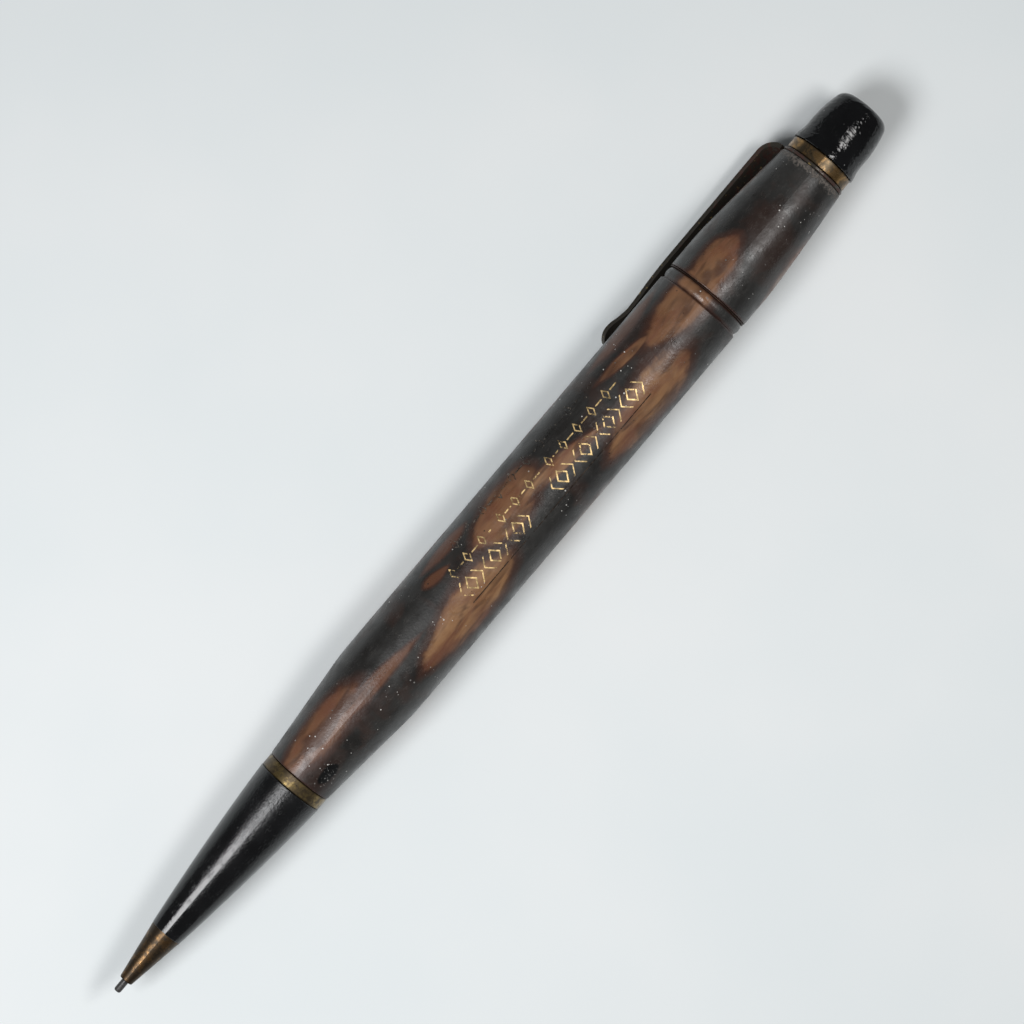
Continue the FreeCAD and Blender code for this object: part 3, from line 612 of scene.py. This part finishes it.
def strip(length, width, pieces=6):
    """A flat strip along X at the origin."""
    nothing_selected()
    bpy.ops.mesh.primitive_grid_add(x_subdivisions=pieces, y_subdivisions=2, size=1)
    made = bpy.context.object
    bpy.ops.object.mode_set(mode="EDIT")
    bpy.ops.transform.resize(value=(length, width, 1))
    bpy.ops.object.mode_set(mode="OBJECT")
    return made


def chevron(length, height, width):
    """A flat V on its side, pointing towards +X."""
    made = strip(height, width, 8)
    bpy.ops.object.mode_set(mode="EDIT")
    bpy.ops.transform.rotate(value=math.pi / 2, orient_axis="Z",
                             center_override=(0, 0, 0))
    bpy.ops.object.mode_set(mode="OBJECT")
    for vertex in made.data.vertices:
        reach = 1 - abs(vertex.co.y) / (height / 2)
        vertex.co.x += length * (reach - 0.5)
    return made


def diamond(length, height, width):
    """A flat open diamond."""
    nothing_selected()
    bpy.ops.mesh.primitive_circle_add(vertices=4, radius=0.5, fill_type="NGON")
    made = bpy.context.object
    bpy.ops.object.mode_set(mode="EDIT")
    bpy.ops.transform.resize(value=(length, height, 1))
    bpy.ops.mesh.inset(thickness=width, use_boundary=True)
    bpy.ops.mesh.delete(type="FACE")
    bpy.ops.mesh.select_all(action="SELECT")
    bpy.ops.mesh.subdivide(number_cuts=3)
    bpy.ops.object.mode_set(mode="OBJECT")
    return made


def copy_at(pattern, along, across):
    """A copy with its own mesh, moved in the plan of the pencil."""
    made = pattern.copy()
    made.data = pattern.data.copy()
    bpy.context.scene.collection.objects.link(made)
    for vertex in made.data.vertices:
        vertex.co += Vector((along, across, 0))
    return made


def lay_on_barrel(pieces, name, material, leaf):
    """Joins flat pieces and presses them straight down onto the barrel."""
    nothing_selected()
    for piece in pieces:
        piece.select_set(True)
    bpy.context.view_layer.objects.active = pieces[0]
    bpy.ops.object.join()
    made = bpy.context.object
    made.name = name
    made.data.name = name
    for vertex in made.data.vertices:
        vertex.co += Vector((0, 0, AXIS_HEIGHT + 2 * BARREL_RADIUS))
    press = made.modifiers.new("Press", "SHRINKWRAP")
    press.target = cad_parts["barrel_tube"]
    press.wrap_method = "PROJECT"
    press.use_project_z = True
    press.use_negative_direction = True
    press.use_positive_direction = False
    press.offset = leaf
    bpy.ops.object.modifier_apply(modifier=press.name)
    thick = made.modifiers.new("Leaf", "SOLIDIFY")
    thick.thickness = leaf * 0.6
    thick.offset = -1
    bpy.ops.object.modifier_apply(modifier=thick.name)
    made.data.materials.clear()
    made.data.materials.append(material)
    bpy.ops.object.shade_smooth_by_angle(angle=math.radians(40))
    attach(made, "barrel")
    return made


# ---------------------------------------------------------------- operators

class PENCIL_OT_shared_patterns(bpy.types.Operator):
    """Builds the node groups that the finishes share"""
    bl_idname = "pencil.shared_patterns"
    bl_label = "Shared patterns"

    def execute(self, context):
        make_pencil_coordinates()
        make_flame()
        make_dust()
        make_scratches()
        make_edge_band()
        return {"FINISHED"}


class PENCIL_OT_marbled_parts(bpy.types.Operator):
    """Finishes the barrel and the cap in marbled plastic"""
    bl_idname = "pencil.marbled_parts"
    bl_label = "Barrel and cap"

    def execute(self, context):
        dress(marbled_material(context.scene.pencil_finish), "barrel_tube", "cap_tube")
        return {"FINISHED"}


class PENCIL_OT_black_parts(bpy.types.Operator):
    """Finishes the nose and the end cap in black plastic"""
    bl_idname = "pencil.black_parts"
    bl_label = "Nose and end cap"

    def execute(self, context):
        finish = context.scene.pencil_finish
        dress(black_material(finish, "black_plastic", "nose_cone", False), "nose_cone")
        dress(black_material(finish, "rippled_black_plastic", "end_cap", True), "end_cap")
        return {"FINISHED"}


class PENCIL_OT_metal_parts(bpy.types.Operator):
    """Finishes the tip, the rings and the clip in aged metal"""
    bl_idname = "pencil.metal_parts"
    bl_label = "Tip, rings and clip"

    def execute(self, context):
        finish = context.scene.pencil_finish
        tarnish = tuple(finish.tarnish)
        for node, brass, tarnished in (("front_ring", finish.brass, 0.54),
                                       ("top_ring", finish.old_gold, 0.50)):
            dress(metal_material(node + "_brass", tuple(brass), tarnish, tarnished, 0.18,
                                 node), node)
        dress(metal_material("bronze", tuple(finish.bronze), (0.040, 0.028, 0.017), 0.56,
                             0.22, "writing_tip"), "writing_tip")
        dress(metal_material("grimed_brass", (0.085, 0.050, 0.026), (0.026, 0.012, 0.008),
                             0.6, 0.36), "thrust_washer")
        dress(clip_material(finish), "clip_strap", "clip_washer")
        return {"FINISHED"}


class PENCIL_OT_inner_parts(bpy.types.Operator):
    """Finishes the mechanism, the lead and the eraser"""
    bl_idname = "pencil.inner_parts"
    bl_label = "Mechanism, lead and eraser"

    def execute(self, context):
        inner = metal_material("inner_brass", (0.62, 0.42, 0.17), (0.30, 0.19, 0.08),
                               0.42, 0.26)
        dress(inner, "guide_bush", "guide_tube", "rear_bearing", "cap_neck", "drive_bush",
              "spiral_tube", "clamp_bush", "lead_magazine", "eraser_ferrule",
              "end_cap_sleeve", "lead_clutch")
        steel = metal_material("spring_steel", (0.46, 0.46, 0.47), (0.16, 0.14, 0.12),
                               0.38, 0.28)
        dress(steel, "snap_ring", "push_rod", "feed_lug")
        dress(graphite_material(), "lead", "spare_leads")
        dress(eraser_material(), "eraser")
        return {"FINISHED"}


class PENCIL_OT_stamped_ornament(bpy.types.Operator):
    """Stamps rows of diamonds, chevrons and dashes on the barrel, in worn gilt"""
    bl_idname = "pencil.stamped_ornament"
    bl_label = "Stamped ornament"

    def execute(self, context):
        finish = context.scene.pencil_finish
        sizes = context.scene.pencil_sizes
        stroke = sizes.stroke
        start = POINT + 62.4 * MM
        row = []

        # The first row: open diamonds, each between two chevrons.
        gem_pitch = 4.15 * MM
        tall = 2.15 * MM
        gem = diamond(1.7 * MM, tall, stroke)
        arrow = chevron(0.85 * MM, tall, stroke * 1.1)
        back = chevron(-0.85 * MM, tall, stroke * 1.1)
        gem_row = -0.78 * MM
        for group_start, count in ((start + 1.4 * MM, 3), (start + 17.6 * MM, 4)):
            for index in range(count):
                centre = group_start + index * gem_pitch
                row.append(copy_at(gem, centre, gem_row))
                row.append(copy_at(back, centre - 1.42 * MM, gem_row))
                row.append(copy_at(arrow, centre + 1.42 * MM, gem_row))

        # The second row: small diamonds joined by dashes.
        bead_pitch = 2.55 * MM
        bead = diamond(0.95 * MM, 1.6 * MM, stroke * 0.85)
        dash = strip(1.1 * MM, stroke * 0.9)

        def bead_and_dash(centre, across):
            return copy_at(bead, centre, across), copy_at(dash, centre + 1.27 * MM, across)

        for group_start, count in ((start + 0.8 * MM, 3), (start + 9.3 * MM, 3),
                                   (start + 17.9 * MM, 5)):
            for index in range(count):
                row += bead_and_dash(group_start + index * bead_pitch, 1.55 * MM)
        gilt = gilt_material("gilt", 0.455, tuple(finish.gilt))
        lay_on_barrel(row, "gilt_ornament", gilt, sizes.leaf)

        # The third row is like the second, with its gilt rubbed away.
        blind = []
        for index in range(10):
            blind += bead_and_dash(start + 3.5 * MM + index * bead_pitch, 3.65 * MM)
        bare = gilt_material("rubbed_gilt", 0.53, (0.10, 0.085, 0.070))
        lay_on_barrel(blind, "rubbed_ornament", bare, sizes.leaf)

        rule = strip(32.0 * MM, 0.12 * MM, 60)
        line = [copy_at(rule, start + 15.6 * MM, -2.41 * MM)]
        edge = gilt_material("stamp_edge", 0.47, (0.035, 0.024, 0.017))
        lay_on_barrel(line, "stamp_edge_line", edge, sizes.leaf)
        for pattern in (gem, arrow, back, bead, dash, rule):
            bpy.data.objects.remove(pattern)
        return {"FINISHED"}


class PENCIL_OT_studio(bpy.types.Operator):
    """Sets the pale floor, the soft lamps and the camera above the pencil"""
    bl_idname = "pencil.studio"
    bl_label = "Studio"

    def execute(self, context):
        sizes = context.scene.pencil_sizes
        nothing_selected()
        bpy.ops.mesh.primitive_grid_add(x_subdivisions=8, y_subdivisions=8, size=1.6)
        floor = context.object
        floor.name = "pale_floor"
        floor.data.materials.append(floor_material())

        world = bpy.data.worlds.new("soft_room")
        world.use_nodes = True
        background = world.node_tree.nodes["Background"]
        background.inputs["Color"].default_value = (0.93, 0.97, 1.0, 1)
        background.inputs["Strength"].default_value = 0.12
        context.scene.world = world

        self.lamp("nose_side_lamp", (-0.152, 0.058, 0.29), (0.150, 0.120), sizes.nose_lamp,
                  (0.985, 0.99, 1.0))
        self.lamp("cap_side_lamp", (0.105, -0.110, 0.29), (0.12, 0.075), sizes.cap_lamp,
                  (1.0, 0.985, 0.97))
        bpy.ops.object.camera_add()
        camera = context.object
        camera.name = "camera_above"
        camera.location = (4.81 * MM, 1.0 * MM, AXIS_HEIGHT + sizes.camera_height)
        camera.rotation_euler = (0, 0, -sizes.lean)
        camera.data.sensor_width = 36
        camera.data.lens = 36 * sizes.camera_height / sizes.view_width
        camera.data.clip_start = 0.01
        context.scene.camera = camera
        context.scene.view_settings.view_transform = "Standard"
        context.scene.view_settings.look = "None"
        return {"FINISHED"}

    def lamp(self, name, place, size, power, color):
        """A soft rectangular lamp, aimed at the middle of the pencil."""
        aim = Vector((0, 0, AXIS_HEIGHT)) - Vector(place)
        turn = aim.to_track_quat("-Z", "Y").to_euler()
        bpy.ops.object.light_add(type="AREA", location=place, rotation=turn)
        light = bpy.context.object
        light.name = name
        light.data.shape = "RECTANGLE"
        light.data.size, light.data.size_y = size
        light.data.energy = power
        light.data.color = color


class PENCIL_PT_panel(bpy.types.Panel):
    """Lists the pencil's operators, finishes and sizes"""
    bl_idname = "PENCIL_PT_panel"
    bl_label = "Marbled pencil"
    bl_space_type = "VIEW_3D"
    bl_region_type = "UI"
    bl_category = "Pencil"

    def draw(self, context):
        for step in STEPS:
            self.layout.operator(step.bl_idname)
        for settings in (context.scene.pencil_finish, context.scene.pencil_sizes):
            box = self.layout.box()
            for name in settings.__annotations__:
                box.prop(settings, name)


STEPS = (PENCIL_OT_shared_patterns, PENCIL_OT_marbled_parts, PENCIL_OT_black_parts,
         PENCIL_OT_metal_parts, PENCIL_OT_inner_parts, PENCIL_OT_stamped_ornament,
         PENCIL_OT_studio)
CLASSES = (PencilFinish, PencilSizes, *STEPS, PENCIL_PT_panel)


def register():
    for each in CLASSES:
        bpy.utils.register_class(each)
    bpy.types.Scene.pencil_finish = bpy.props.PointerProperty(type=PencilFinish)
    bpy.types.Scene.pencil_sizes = bpy.props.PointerProperty(type=PencilSizes)


def unregister():
    del bpy.types.Scene.pencil_sizes
    del bpy.types.Scene.pencil_finish
    for each in reversed(CLASSES):
        bpy.utils.unregister_class(each)


def main():
    register()
    bpy.ops.pencil.shared_patterns()
    bpy.ops.pencil.marbled_parts()
    bpy.ops.pencil.black_parts()
    bpy.ops.pencil.metal_parts()
    bpy.ops.pencil.inner_parts()
    bpy.ops.pencil.stamped_ornament()
    bpy.ops.pencil.studio()


if __name__ == "__main__":
    main()
